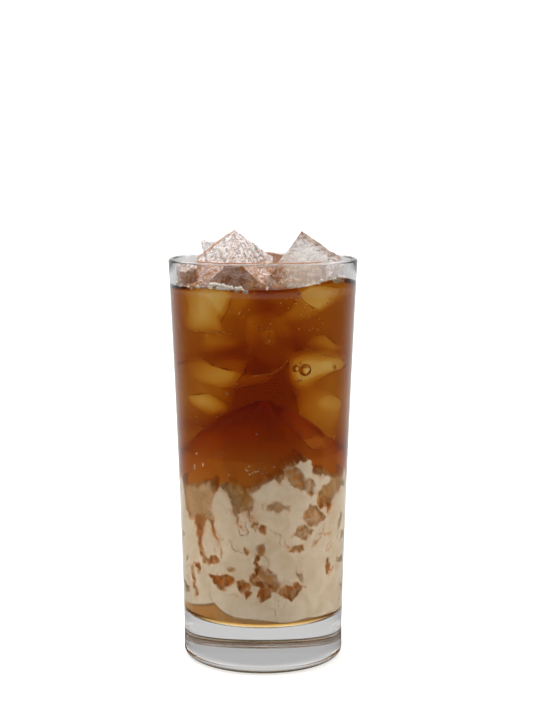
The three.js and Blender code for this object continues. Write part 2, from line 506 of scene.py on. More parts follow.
def make_tumbler(material, wet_material, ground_painted_shade_material):
    """The pressed tumbler: a thick foot with a ribbed ring, flaring walls and a rounded rim."""
    bead = wall_thickness(GLASS_HEIGHT) / 2
    rim_centre = outer_radius(GLASS_HEIGHT) - bead
    heights = [FLOOR_HEIGHT + 3.0 + 6.2 * i for i in range(21)]
    ring = FOOT_RADIUS - HEEL_WIDTH
    turns = [math.radians(9.0 * i) for i in range(11)]
    profile = [
        on_axis(PUNT),
        (RING_INNER * 0.5, PUNT * 0.97),
        (RING_INNER - 1.6, PUNT * 0.9),
        (RING_INNER - 0.8, PUNT * 0.6),
        (RING_INNER - 0.3, PUNT * 0.15),
        *[(RING_INNER + (ring - RING_INNER) * i / 6, 0.0) for i in range(6)],
        *[(ring + HEEL_WIDTH * math.sin(turn), HEEL_RISE * (1.0 - math.cos(turn))) for turn in turns],
        (FOOT_RADIUS, 5.0),
        (FOOT_RADIUS, WALL_START),
        *[(float(outer_radius(z)), z) for z in heights],
        *arc(rim_centre, GLASS_HEIGHT - bead, bead, 0, 180, 14),
        *[(float(inner_radius(z)), z) for z in reversed(heights)],
        *arc(inner_radius(FLOOR_HEIGHT), FLOOR_HEIGHT + FLOOR_ROUND, FLOOR_ROUND, 0, -90, 7),
        (MIDDLE_FLAT, FLOOR_HEIGHT),
        on_axis(FLOOR_HEIGHT),
    ]
    profile = [(float(r), float(z)) for r, z in profile]
    piece = turned("tumbler_glass", profile, GLASS_STEPS)
    rib_foot(piece)
    finish_piece(piece, material, "glass", "tumbler")
    piece.data.materials.append(wet_material)
    piece.data.materials.append(ground_painted_shade_material)
    for face in piece.data.polygons:
        middle = face.center / MM
        radius = math.hypot(middle.x, middle.y)
        if radius < inner_radius(middle.z) + 0.3 and FLOOR_HEIGHT - 0.1 < middle.z < COFFEE_LEVEL:
            face.material_index = 1
        # The ring under the foot gets the ground glass, whose brown-grey tint is painted shade.
        elif middle.z < RING_RISE and radius > RING_INNER - 0.4:
            face.material_index = 2


def rib_foot(piece):
    """Presses fine radial ribs into the ring under the foot."""
    points = points_of(piece)
    radius = np.hypot(points[:, 0], points[:, 1])
    bearing = np.arctan2(points[:, 1], points[:, 0])
    rib = np.round(bearing / math.tau * GLASS_STEPS) % 2
    ribbed = smooth(radius, RING_INNER, RING_INNER + 0.8) * (1.0 - smooth(radius, *RIB_OUTER))
    points[:, 2] += (points[:, 2] < HEEL_RISE) * rib * RIB_DEPTH * ribbed
    move_points(piece, points)


# The liquids


def meniscus(radius, wall, rise=1.1, reach=1.3):
    """How far the coffee climbs close to the wall."""
    return rise * np.exp(-(wall - radius) / reach)


def wall_climb(bearing):
    """How much higher the coffee stands at the wall on some bearings, drawn up by ice that leans on the glass."""
    right = 3.2 * np.exp(-(((bearing - 0.95) / 0.45) ** 2))
    back = 1.6 * np.exp(-(((np.abs(bearing) - 2.6) / 0.4) ** 2))
    return right + back


def front_bearing(points):
    """The bearing of each point from the front of the glass, growing to the right."""
    return np.arctan2(points[:, 0], -points[:, 1])


def make_coffee(material, ice, sunk_ice):
    """The coffee, from inside the cream up to its level, with a meniscus at the wall and at the ice.

    Where ice lies in it, it is hollow.
    """
    low = COFFEE_FLOOR
    wall = [float(low + (COFFEE_LEVEL - 1.0 - low) * i / 40) for i in range(41)]
    top_radius = float(inner_radius(COFFEE_LEVEL)) + WALL_REACH
    rings = [top_radius * (1.0 - i / 70) for i in range(1, 70)]
    profile = [
        on_axis(low),
        *[(float(inner_radius(z)) + WALL_REACH, z) for z in wall],
        (top_radius, COFFEE_LEVEL),
        *[(r, COFFEE_LEVEL) for r in rings],
        on_axis(COFFEE_LEVEL),
    ]
    piece = turned("coffee_drink", profile, DRINK_STEPS)
    points = points_of(piece)
    top = points[:, 2] > COFFEE_LEVEL - 0.01
    radius = np.hypot(points[:, 0], points[:, 1])
    bearing = front_bearing(points)
    climb = meniscus(radius, top_radius) + wall_climb(bearing) * np.exp(-((top_radius - radius) / 8.0) ** 2)
    near = np.array([distance_to(ice, p) if t else 99.0 for p, t in zip(points, top)])
    climb = np.maximum(climb, 0.9 * np.exp(-near / 0.9))
    points[:, 2] += np.where(top, climb, 0.0)
    edge = top & (radius > top_radius - 0.01)
    grown = (inner_radius(points[:, 2]) + WALL_REACH) / np.maximum(radius, 1e-6)
    points[:, 0] *= np.where(edge, grown, 1.0)
    points[:, 1] *= np.where(edge, grown, 1.0)
    move_points(piece, points)
    mark(piece, "bends", COFFEE_BENDS)
    only(sunk_ice)
    bpy.ops.object.duplicate()
    hollow = bpy.context.object
    edit(hollow)
    bpy.ops.mesh.flip_normals()
    leave_edit()
    mark(hollow, "bends", COFFEE_TO_ICE)
    join([piece, hollow], "coffee_drink")
    finish_piece(piece, material, "coffee", "coffee")


def mark(piece, name, values):
    """Gives each point of a piece a value that its material reads."""
    layer = piece.data.attributes.new(name, "FLOAT", "POINT")
    layer.data.foreach_set("value", np.broadcast_to(values, len(piece.data.vertices)).astype(float))


def distance_to(trees, point):
    """The distance in mm from a point to the nearest of some surfaces."""
    best = 99.0
    for tree in trees:
        found = tree.find_nearest(Vector(point) * MM, 4.0 * MM)
        if found[0] is not None:
            best = min(best, found[3] / MM)
    return best


def make_syrup(material):
    """The syrup on the floor of the glass. The cream hides its top."""
    profile = [
        on_axis(FLOOR_HEIGHT - WALL_REACH),
        (MIDDLE_FLAT, FLOOR_HEIGHT - WALL_REACH),
        *[
            (r + WALL_REACH * 0.7, z - WALL_REACH * 0.7)
            for r, z in arc(inner_radius(FLOOR_HEIGHT), FLOOR_HEIGHT + FLOOR_ROUND, FLOOR_ROUND, -90, 0, 7)
        ],
        *[(float(inner_radius(z)) + WALL_REACH, z) for z in (20.0, 22.0, 25.0, SYRUP_CEILING)],
        (MIDDLE_FLAT, SYRUP_CEILING),
        on_axis(SYRUP_CEILING),
    ]
    piece = turned("syrup_layer", [(float(r), float(z)) for r, z in profile], DRINK_STEPS)
    finish_piece(piece, material, "syrup", "syrup")


# The cream

CREAM_COLUMNS = 430
CREAM_ROW = 0.42
FRONT_CROWDING = 0.38  # how much closer the cream's columns stand at the front than on average

# The edge of the cream against the front of the glass, in the photograph's pixels, from left to right
CREAM_EDGE = [
    (178, 521), (183, 517), (190, 518), (192, 530), (194, 545), (197, 551), (198, 538), (197, 526), (201, 518),
    (205, 524), (209, 536), (213, 545), (210, 528), (207, 510), (209, 496), (216, 487), (222, 493), (226, 500),
    (228, 510), (233, 520), (240, 533), (241, 529), (236, 524), (237, 514), (241, 511), (246, 515), (247, 520),
    (252, 520), (251, 507), (253, 495), (262, 486), (273, 482), (284, 486), (286, 476), (290, 468), (297, 467),
    (305, 462), (312, 460), (317, 463), (317, 470), (319, 476), (325, 477), (332, 474), (335, 481), (329, 484),
    (324, 490), (322, 502), (326, 508), (331, 504), (333, 512), (336, 508), (337, 500), (341, 492), (347, 484),
]
# The edge of the cream over the syrup, from left to right
SYRUP_EDGE = [
    (187, 602), (199, 604), (209, 603), (214, 609), (221, 614), (230, 618), (243, 620), (265, 622), (281, 624),
    (297, 623), (306, 620), (312, 618), (322, 617), (335, 611), (341, 609),
]
# Hollows in the cream that the coffee fills: an outline in pixels, and a depth in mm
CREAM_HOLLOWS = [
    ([(194, 546), (198, 552), (203, 557), (210, 556), (214, 561), (207, 564), (200, 561), (195, 553)], 2.2),
    ([(189, 561), (193, 561), (197, 571), (194, 571)], 3.0),
    ([(187, 565), (188.5, 565), (192.5, 593), (190.5, 594)], 2.0),
    ([(216, 549), (218, 549), (218, 557), (216, 556)], 1.6),
    ([(222, 567), (232, 571), (232, 572.5), (224, 570)], 1.2),
    ([(204, 574), (207, 575), (215, 574), (221, 575), (225, 579), (232, 581), (231, 585), (223, 587), (215, 589),
      (211, 586), (207, 581)], 3.6),
    ([(235, 581), (240, 580), (246, 584), (250, 589), (247, 594), (243, 597), (238, 591), (235, 586)], 3.4),
    ([(247, 579), (255, 578), (261, 584), (268, 585), (277, 586), (282, 590), (274, 594), (265, 599), (259, 603),
      (255, 597), (257, 591), (251, 586)], 3.8),
    ([(279, 594), (289, 588), (297, 586), (310, 586), (303, 591), (298, 598), (293, 600), (287, 597)], 3.0),
    ([(254, 557), (260, 557), (258, 566), (258, 572), (256, 577), (253, 576), (255, 569), (254, 563)], 6.0),
    ([(242, 550), (246, 552), (245, 554), (242, 552)], 3.0),
    ([(253, 522), (256, 526), (255, 529), (252, 527)], 3.0),
    ([(260, 526), (264, 526), (265, 533), (261, 534), (259, 530)], 3.4),
    ([(307, 517), (317, 505), (325, 510), (330, 516), (324, 523), (315, 526)], 1.7),
    ([(294, 537), (302, 530), (309, 526), (319, 531), (314, 537), (307, 540), (301, 538)], 1.5),
    ([(292, 551), (297, 548), (304, 546), (307, 549), (305, 553), (301, 552)], 2.4),
    ([(286, 544), (292, 547), (291, 548), (286, 545)], 1.6),
    ([(331, 559), (333, 559), (334.5, 569), (338, 564), (333, 575), (331.5, 568)], 3.4),
    ([(319, 543), (327, 538), (322, 544), (319, 546)], 1.2),
    ([(329, 532), (336, 531), (333, 534)], 1.4),
    ([(228, 596), (233, 595), (233, 597), (229, 597)], 1.0),
    ([(211, 537), (214, 537), (213, 540)], 1.6),
]
# Places where only a thin film of coffee lies between the cream and the glass
CREAM_FILMS = [
    ([(257, 546), (268, 544), (265, 552), (261, 557), (255, 556)], 0.9),
    ([(268, 507), (276, 503), (293, 506), (293, 512), (282, 513), (270, 512)], 0.4),
    ([(287, 470), (300, 470), (317, 482), (320, 496), (300, 488), (288, 482)], 1.3),
    ([(256, 568), (275, 573), (284, 588), (262, 583)], 0.6),
    ([(300, 566), (309, 580), (307, 588), (299, 578)], 0.25),
]
# Where the edge of the cream is a haze, lying back from the glass
CREAM_HAZES = [
    ([(180, 486), (206, 482), (210, 498), (208, 522), (198, 514), (186, 516)], 1.0),
    ([(214, 484), (236, 488), (246, 508), (238, 520), (226, 500)], 1.8),
    ([(318, 470), (336, 470), (338, 500), (324, 500)], 2.2),
    ([(246, 492), (264, 482), (286, 478), (284, 490), (256, 500), (252, 524), (246, 518)], 1.0),
    ([(336, 476), (350, 474), (350, 500), (337, 500)], 1.3),
    ([(222, 494), (232, 500), (238, 516), (232, 520), (226, 508)], 1.3),
]
# How far back from the glass the open cream lies, by its height
HEAP = [
    (20, 1.2), (50, 1.8), (60, 2.4), (66, 3.2), (70, 4.3),
    (78, 7.0), (85, 12.5), (90, 17.5), (94, 22.5), (97, 27.5),
]


def inside_outline(outline, along, up):
    """The distance in mm from points of the unrolled wall to an outline, above 0 inside it."""
    nearest = np.full(len(along), 1e9)
    inside = np.zeros(len(along), dtype=bool)
    for (ax, ay), (bx, by) in zip(outline, outline[1:] + outline[:1]):
        dx, dy = bx - ax, by - ay
        share = np.clip(((along - ax) * dx + (up - ay) * dy) / (dx * dx + dy * dy), 0.0, 1.0)
        gap = np.hypot(along - ax - share * dx, up - ay - share * dy)
        nearest = np.minimum(nearest, gap)
        crosses = (ay > up) != (by > up)
        level = ax + (up - ay) * dx / (dy if abs(dy) > 1e-9 else 1e-9)
        inside ^= crosses & (along < level)
    return np.where(inside, nearest, -nearest)


def cream_recess(points):
    """How far the cream lies back from the glass, in mm, at points on the wall, and how much amber it takes, 0 to 1:
    partly coffee mixed in, partly painted shade in its recesses, along its edges and in its creases.
    """
    up = points[:, 2] + 0.5 * ripple(points, 5.0, 3.1) + 0.75 * ripple(points, 2.2, 8.3, 3)
    along = front_bearing(points) * UNROLL_RADIUS
    along = along + 0.5 * ripple(points, 5.0, 12.7) + 0.75 * ripple(points, 2.2, 21.9, 3)
    front = [unrolled(*p) for p in CREAM_EDGE]
    outline = [(-60.0, front[0][1]), *front, (60.0, front[-1][1] - 3.0), (60.0, 0.0), (-60.0, 0.0)]
    seen = inside_outline(outline, along, up)
    lumps = 5.5 * ripple(points * np.array([1.0, 1.0, 0.45]), 13.0, 40.0, 2)
    unseen = 67.0 + lumps - up
    beyond = smooth(np.abs(along), 33.0, 40.0)
    edge = seen * (1.0 - beyond) + unseen * beyond
    heights, depths = zip(*HEAP)
    open_depth = np.interp(points[:, 2], heights, depths)
    open_depth = open_depth + 0.6 * ripple(points, 9.0, 60.0)
    hazy = np.zeros(len(points))
    uneven = 1.0 + 0.5 * ripple(points, 3.0, 17.0, 2)
    for haze, depth in CREAM_HAZES:
        close = smooth(inside_outline([unrolled(*p) for p in haze], along, up), -1.6, 1.2)
        hazy = np.maximum(hazy, close)
        depth = np.maximum(depth * uneven, 0.15)
        open_depth = open_depth * (1.0 - close) + np.minimum(open_depth, depth) * close
    recess = open_depth * smooth(-edge, -0.1, 2.0)
    # The amber grows with the depth of the recess: painted shade, besides the coffee mixed in.
    soak_and_painted_shade = 0.85 * smooth(recess, 0.5, 3.0) + 0.15 * smooth(recess, 6.0, 16.0)
    halo = smooth(ripple(points, 5.0, 52.0, 2), -0.5, 0.7)
    soak_and_painted_shade = np.maximum(soak_and_painted_shade, 0.35 * halo * (1.0 - smooth(edge, 0.2, 2.6)))
    # A band just inside the cream's edge is painted amber: painted shade.
    soak_and_painted_shade = np.maximum(soak_and_painted_shade, 0.75 * smooth(-edge, -0.9, 0.3))
    patchy = np.clip(0.7 + 0.6 * ripple(points, 2.4, 77.0, 2), 0.25, 1.0)
    # The hollows and films are painted amber as well: partly coffee mixed in, partly painted shade.
    for hollow, depth in CREAM_HOLLOWS:
        place = [unrolled(*p) for p in hollow]
        within = inside_outline(place, along, up)
        strength = np.minimum(depth / 2.4, 1.0) * (0.45 + 0.45 * patchy)
        soak_and_painted_shade = np.maximum(soak_and_painted_shade, strength * smooth(within, -0.9, 0.1))
        recess = np.maximum(recess, 0.6 * depth * patchy * smooth(within, -0.35, 0.9))
    for film, depth in CREAM_FILMS:
        place = [unrolled(*p) for p in film]
        within = inside_outline(place, along, up)
        soak_and_painted_shade = np.maximum(soak_and_painted_shade, min(depth / 0.8, 0.75) * patchy * smooth(within, -1.0, 0.6))
        recess = np.maximum(recess, depth * patchy * smooth(within, -0.8, 1.2))
    hidden = 2.6 * smooth(ripple(points * np.array([1.0, 1.0, 1.4]), 6.0, 91.0, 2), 0.62, 0.95)
    recess = np.maximum(recess, hidden * beyond)
    # Creases are painted amber: painted shade in the creases.
    creases = smooth(-np.abs(ripple(points, 9.0, 33.0, 2)), -0.03, 0.0)
    some = creases * smooth(ripple(points, 14.0, 5.0), 0.0, 0.5)
    recess = np.maximum(recess, 0.34 * some)
    soak_and_painted_shade = np.maximum(soak_and_painted_shade, 0.6 * some) * (1.0 - 0.55 * hazy)
    return np.maximum(recess, 0.0), soak_and_painted_shade


def syrup_line(bearing):
    """The height of the cream's lower edge on the glass, by the bearing."""
    front = [unrolled(*p) for p in SYRUP_EDGE]
    along = [p[0] / UNROLL_RADIUS for p in front]
    height = [p[1] for p in front]
    seen = np.interp(bearing, along, height)
    unseen = 20.4 + 1.2 * np.sin(2.0 * bearing + 0.6) + 0.5 * np.sin(5.0 * bearing)
    beyond = smooth(np.abs(bearing), 1.2, 1.7)
    return seen * (1.0 - beyond) + unseen * beyond


def make_cream(material):
    """The cream: a turned blank, pushed back from the glass wherever coffee shows in front of it."""
    bottom = 18.6
    crest = HEAP[-1][0]
    rows = int((crest - bottom) / CREAM_ROW)
    heights = [bottom + (crest - bottom) * i / rows for i in range(rows + 1)]
    under = [(UNROLL_RADIUS * i / 14, bottom) for i in range(1, 14)]
    over = [(UNROLL_RADIUS * (1.0 - i / 12), crest) for i in range(1, 12)]
    profile = [on_axis(bottom), *under, *[(UNROLL_RADIUS, z) for z in heights], *over, on_axis(crest)]
    piece = turned("cream_layer", profile, CREAM_COLUMNS)
    points = points_of(piece)
    radius = np.hypot(points[:, 0], points[:, 1])
    bearing = front_bearing(points)
    bearing -= FRONT_CROWDING * np.sin(bearing)
    wall = inner_radius(points[:, 2])
    side = radius > UNROLL_RADIUS - 0.01
    unit = np.stack([np.sin(bearing), -np.cos(bearing)], axis=1)
    line = syrup_line(bearing)
    on_glass = np.column_stack([unit * wall[:, None], points[:, 2]])
    recess = np.zeros(len(points))
    soak_and_painted_shade = np.zeros(len(points))
    recess[side], soak_and_painted_shade[side] = cream_recess(on_glass[side])
    below = line - points[:, 2]
    foot = 0.9 + 0.08 * np.maximum(below, 0.0) + 0.3 * ripple(points * np.array([1.0, 1.0, 0.3]), 4.0, 71.0)
    recess = np.maximum(recess, foot * smooth(below, -0.1, 0.5))
    # Below the syrup line the cream is painted amber: partly syrup mixed in, partly painted shade.
    soak_and_painted_shade = np.maximum(soak_and_painted_shade, 0.45 * smooth(below, -0.3, 0.3))
    reach = wall + CREAM_REACH - recess
    rim_bottom = np.interp(bearing, *column_values(bearing, points[:, 2], reach, side, bottom))
    rim_top = np.interp(bearing, *column_values(bearing, points[:, 2], reach, side, crest))
    is_under = ~side & (points[:, 2] < bottom + 0.01)
    is_over = ~side & ~is_under
    share = radius / UNROLL_RADIUS
    place = np.where(side, reach, np.where(is_under, share * rim_bottom, share * rim_top))
    points[:, 0] = unit[:, 0] * place
    points[:, 1] = unit[:, 1] * place
    points[:, 2] += np.where(is_under, 1.6 * (1.0 - share**4), 0.0)
    points[:, 2] += np.where(is_over, 1.4 * (1.0 - share**2), 0.0)
    move_points(piece, points)
    # The top of the cream is painted fully amber: painted shade.
    soak_and_painted_shade = np.where(is_over, 1.0, soak_and_painted_shade)
    mark(piece, "soak_and_painted_light", soak_and_painted_shade)
    finish_piece(piece, material, "cream", "cream")


def column_values(bearing, height, value, side, level):
    """The value at one height on every bearing, sorted by bearing."""
    chosen = side & (np.abs(height - level) < 0.01)
    order = np.argsort(bearing[chosen])
    return bearing[chosen][order], value[chosen][order]


# The ice

# The ice that stands out of the coffee: size and centre in mm, and turns in degrees
PROUD_ICE = {
    "ice_peak_left": ((19.5, 19.5, 19.5), (-10.5, -6.5, 144.4), (45, 35, -90)),
    "ice_peak_right": ((18, 16, 21), (15.6, -4.8, 145.1), (-22, 32, -13)),
    "ice_back_left": ((12.4, 9.4, 20.4), (-14.5, 19.4, 146.6), (0, -12, 38)),
    "ice_wedge": ((9, 10, 17), (4.2, 14.5, 142.0), (-6, 8, -12)),
    "ice_chip_left": ((5.5, 6.5, 7.5), (-27.2, -10.4, 143.6), (20, -12, 18)),
    "ice_chip_right": ((5.8, 3.4, 7), (25.3, -16.6, 144.8), (0, 8, 57)),
}
SUNK_CLEARANCE = 0.6  # how far ice under the coffee stays from its level and from the glass, in mm
# How a sunk piece is melted round: shares of its depth, and how wide it is there against its middle
SUNK_SHAPE = [(0.0, 0.35), (0.15, 0.75), (0.5, 1.06), (0.85, 0.75), (1.0, 0.35)]
# How brown the ridges are that run down from each block's top corner, from the left one to the right one
RIDGE_STAINS = {
    "ice_peak_left": (1.0, 0.3, 0.15),
    "ice_peak_right": (0.15, 0.3, 0.8),
    "ice_back_left": (0.3, 0.3, 0.3),
    "ice_wedge": (0.8, 0.8, 0.8),
}
# The ice under the coffee: its outline in the photograph's pixels, and how far in, in mm, it starts and ends.
# The first ones stand near the front of the glass, the others behind them.
SUNK_ICE = {
    "upper_left": ([(175, 262), (214, 262), (238, 270), (224, 309), (216, 321), (219, 329), (229, 334), (208, 333),
                    (190, 331), (180, 326)], 2.0, 23.0),
    "round_face": ([(239, 276), (254, 282), (260, 317), (259, 328), (252, 336), (238, 337), (229, 327), (228, 312)],
                   6.0, 10.0),
    "strip_left": ([(198, 337), (228, 338), (240, 345), (226, 350), (205, 352), (196, 345)], 3.0, 16.0),
    "middle_left": ([(187, 357), (199, 357), (207, 366), (228, 372), (247, 377), (262, 376), (276, 371), (282, 362),
                     (283, 368), (280, 376), (274, 382), (265, 385), (253, 384), (240, 387), (214, 389), (196, 385),
                     (188, 373)], 2.5, 22.0),
    "crescent": ([(208, 359), (230, 351), (244, 355), (252, 366), (247, 373), (228, 368)], 5.0, 9.0),
    "low_left": ([(179, 391), (204, 391), (226, 404), (234, 412), (220, 414), (211, 416), (198, 411), (186, 403)],
                 2.0, 20.0),
    "right_band": ([(274, 321), (286, 313), (298, 300), (313, 270), (338, 266), (352, 292), (324, 311), (310, 318),
                    (297, 322)], 3.0, 17.0),
    "right_upper": ([(306, 345), (320, 334), (330, 331), (336, 338), (349, 346), (346, 352), (330, 352),
                     (314, 348)], 2.5, 19.0),
    "right_middle": ([(288, 356), (307, 346), (322, 350), (341, 354), (353, 350), (351, 366), (330, 375), (314, 383),
                      (303, 388), (288, 385), (283, 374)], 2.0, 29.0),
    "right_cube": ([(300, 387), (311, 381), (330, 389), (346, 402), (342, 418), (336, 428), (308, 437), (284, 424),
                    (283, 410)], 9.0, 17.0),
    "right_spot": ([(318, 400), (334, 392), (347, 402), (340, 411), (323, 411)], 2.0, 15.0),
    "right_point": ([(296, 434), (306, 439), (328, 432), (341, 434), (330, 447), (316, 451), (306, 443)], 3.0, 19.0),
    "core_spot": ([(264, 332), (271, 330), (278, 343), (274, 348), (266, 346)], 4.0, 15.0),
    "core_upper": ([(248, 318), (270, 310), (292, 322), (298, 350), (288, 372), (262, 366), (246, 344)],
                   12.0, 27.0),
    "back_upper_left": ([(160, 240), (222, 240), (262, 240), (272, 318), (256, 350), (215, 358), (160, 358)],
                        26.0, 50.0),
    "back_upper_right": ([(256, 240), (300, 240), (360, 240), (360, 356), (318, 354), (290, 342), (260, 332)],
                         26.0, 46.0),
    "back_low_left": ([(174, 357), (220, 356), (262, 354), (250, 366), (238, 384), (234, 414), (212, 422),
                       (176, 418)], 26.0, 50.0),
    "back_low_right": ([(280, 348), (312, 350), (354, 352), (352, 434), (318, 448), (298, 432), (292, 400),
                        (286, 380)], 26.0, 47.0),
    "back_foot": ([(182, 427), (212, 429), (243, 424), (246, 440), (238, 452), (196, 452)], 30.0, 44.0),
}


def block(name, size, centre, turn):
    """A sharp block of ice in its place."""
    deselect()
    bpy.ops.mesh.primitive_cube_add(
        size=1.0,
        location=[c * MM for c in centre],
        rotation=[math.radians(t) for t in turn],
        scale=[s * MM for s in size],
    )
    piece = bpy.context.object
    piece.name = name
    apply_place(piece)
    return piece


def trim(piece, point, direction):
    """Cuts off what lies beyond a plane, and closes the cut."""
    edit(piece)
    bpy.ops.mesh.bisect(
        plane_co=[p * MM for p in point],
        plane_no=direction,
        use_fill=True,
        clear_outer=True,
    )
    leave_edit()


def keep_inside_wall(piece, clearance=0.45):
    """Flattens against the glass whatever would reach into it."""
    points = points_of(piece)
    radius = np.hypot(points[:, 0], points[:, 1])
    limit = inner_radius(points[:, 2]) - clearance
    shrink = np.minimum(limit / np.maximum(radius, 1e-6), 1.0)
    points[:, :2] *= shrink[:, None]
    move_points(piece, points)


def surface_tree(piece):
    mesh = piece.data
    mesh.calc_loop_triangles()
    corners = [v.co.copy() for v in mesh.vertices]
    return BVHTree.FromPolygons(corners, [tuple(t.vertices) for t in mesh.loop_triangles])


def corners_of(size, centre, turn):
    """The corners of a turned block, in mm, the highest first."""
    turned = Euler([math.radians(t) for t in turn]).to_matrix()
    signs = [Vector((x, y, z)) for x in (-0.5, 0.5) for y in (-0.5, 0.5) for z in (-0.5, 0.5)]
    corners = [turned @ Vector([s * c for s, c in zip(sign, size)]) + Vector(centre) for sign in signs]
    return sorted(corners, key=lambda corner: -corner.z)


def distance_to_line(points, start, end):
    """How far points lie from a straight stretch between two others."""
    line = np.array(end - start)
    share = np.clip(((points - np.array(start)) @ line) / (line @ line), 0.0, 1.0)
    return np.linalg.norm(points - np.array(start) - share[:, None] * line, axis=1)


def make_proud_ice(material):
    """The ice that stands out of the coffee: melted blocks, pitted all over, and cut off just under the level."""
    trees = []
    for number, (name, (size, centre, turn)) in enumerate(PROUD_ICE.items()):
        piece = block(name + "_top", size, centre, turn)
        small = min(size) < 8
        apply_modifier(piece, "REMESH", mode="VOXEL", voxel_size=(0.2 if small else 0.26) * MM, adaptivity=0.0)
        apply_modifier(piece, "SMOOTH", factor=0.5, iterations=30 if small else 3)
        seed = 5.0 * number + 2.0
        points = points_of(piece)
        normals = normals_of(piece)
        bulge = 0.03 * min(size) * ripple(points, 8.0, seed)
        lumps = ripple(points, 2.4, seed + 1.0, 2)
        pits = np.abs(ripple(points, 1.5, seed + 2.0, 2))
        grit = ripple(points, 0.9, seed + 5.0)
        relief = bulge + 0.16 * lumps + 0.24 * (0.3 - pits) + 0.06 * grit
        move_points(piece, points + normals * relief[:, None])
        keep_inside_wall(piece)
        points = points_of(piece)
        low = smooth(-points[:, 2] + 1.6 * ripple(points, 3.0, seed + 3.0, 2), -150.2, -147.0)
        patches = smooth(ripple(points, 3.4, seed + 4.0, 2), -0.45, 0.25)
        flecks = smooth(ripple(points, 1.1, seed + 5.0, 2), -0.5, 0.1)
        amber = 1.0 - 0.75 * smooth(points[:, 0], 4.0, 12.0)
        stain = low * amber * (0.5 + 0.7 * patches * flecks)
        stain = np.maximum(stain, 0.35 * smooth(ripple(points, 0.8, seed + 6.0), 0.62, 0.95))
        stain = np.maximum(stain, 0.15 * smooth(ripple(points, 3.0, seed + 8.0, 2), 0.3, 1.0))
        top, *others = corners_of(size, centre, turn)
        if not small:
            for corner, strength in zip(sorted(others[:3], key=lambda corner: corner.x), RIDGE_STAINS[name]):
                gap = distance_to_line(points, top, corner)
                stain = np.maximum(stain, strength * np.exp(-((gap / 2.0) ** 4)) * (0.7 + 0.3 * flecks))
        if name == "ice_wedge":
            stain = np.maximum(stain, 0.75)
        mark(piece, "coffee_stain", stain)
        trees.append(surface_tree(piece))
        bearing = front_bearing(np.array([centre]))
        lifted = 0.7 * float(wall_climb(bearing)[0]) if small else 0.0
        trim(piece, (0, 0, COFFEE_LEVEL - 0.1 + lifted), (0, 0, -1))
        smooth_shading(piece, 50)
        finish_piece(piece, material, "ice", name)
    return trees


def sunk_block(number, outline, near, far):
    """A block under the coffee, drawn along the lines of sight, narrower at both ends and melted round."""
    deselect()
    bpy.ops.mesh.primitive_circle_add(vertices=len(outline), radius=MM, fill_type="NGON", location=ORIGIN)
    piece = bpy.context.object
    edit(piece)
    for _ in SUNK_SHAPE[1:]:
        bpy.ops.mesh.extrude_region_move(TRANSFORM_OT_translate={"value": (0.0, 0.0, MM)})
    leave_edit()
    points = points_of(piece)
    middle = np.mean(outline, axis=0)
    for index, (x, y, level) in enumerate(points.copy()):
        corner = int(round(math.atan2(x, y) / math.tau * len(outline))) % len(outline)
        share, melted = SUNK_SHAPE[int(round(level))]
        px, py = middle + melted * (np.array(outline[corner]) - middle)
        points[index] = in_drink(float(px), float(py), near + share * (far - near))
    move_points(piece, points)
    edit(piece)
    bpy.ops.mesh.normals_make_consistent(inside=False)
    leave_edit()
    apply_modifier(piece, "REMESH", mode="VOXEL", voxel_size=0.7 * MM, adaptivity=0.0)
    apply_modifier(piece, "SMOOTH", factor=0.5, iterations=18)
    for grain, depth in ((12.0, 1.2), (4.5, 0.35)):
        points = points_of(piece)
        points += normals_of(piece) * (depth * ripple(points, grain, 7.0 * number))[:, None]
        move_points(piece, points)
    return piece


def make_sunk_ice():
    """The ice under the coffee: blocks, and the feet of those that stand out of it, frozen into one another."""
    blocks = [sunk_block(number, *shape) for number, shape in enumerate(SUNK_ICE.values())]
    for name, (size, centre, turn) in PROUD_ICE.items():
        foot = block(name + "_foot", size, centre, turn)
        apply_modifier(foot, "REMESH", mode="VOXEL", voxel_size=0.7 * MM, adaptivity=0.0)
        apply_modifier(foot, "SMOOTH", factor=0.5, iterations=8)
        blocks.append(foot)
    piece = join(blocks, "ice_sunk")
    points = points_of(piece)
    points[:, 2] = np.minimum(points[:, 2], COFFEE_LEVEL - SUNK_CLEARANCE)
    move_points(piece, points)
    keep_inside_wall(piece, SUNK_CLEARANCE)
    apply_modifier(piece, "REMESH", mode="VOXEL", voxel_size=0.72 * MM, adaptivity=0.0)
    apply_modifier(piece, "SMOOTH", factor=0.5, iterations=9)
    smooth_shading(piece)
    return piece


def finish_sunk_ice(piece, material):
    """Draws the ice in a little from the coffee round it."""
    move_points(piece, points_of(piece) - 0.04 * normals_of(piece))
    finish_piece(piece, material, "ice")


# Small things


def ball(place, radius, squash=(1.0, 1.0, 1.0), divisions=2):
    deselect()
    bpy.ops.mesh.primitive_ico_sphere_add(
        subdivisions=divisions,
        radius=radius * MM,
        location=[p * MM for p in place],
        scale=squash,
    )
    return bpy.context.object


def join(pieces, name):
    """Joins pieces into one and puts its place into its mesh."""
    deselect()
    for piece in pieces:
        piece.select_set(True)
    bpy.context.view_layer.objects.active = pieces[0]
    bpy.ops.object.join()
    joined = bpy.context.object
    joined.name = name
    apply_place(joined)
    smooth_shading(joined)
    return joined


def at_bearing(bearing, radius, z):
    return (math.sin(bearing) * radius, -math.cos(bearing) * radius, z)


# The raft of foam at the front left, in the photograph's pixels: where it starts, how far it runs across and
# down, and how far its beads stray up and down
RAFT_START = (201.5, 285.2)
RAFT_RUN = (43.0, 6.5)
RAFT_STRAY = 2.6
RAFT_BEADS = 40
WALL_BEADS = 46
# The drops along the rim: their first and last places across and their height, in pixels
RIM_DROP_SPAN = (193.0, 325.0)
RIM_DROP_LINE = 266.0
RIM_DROPS = 74
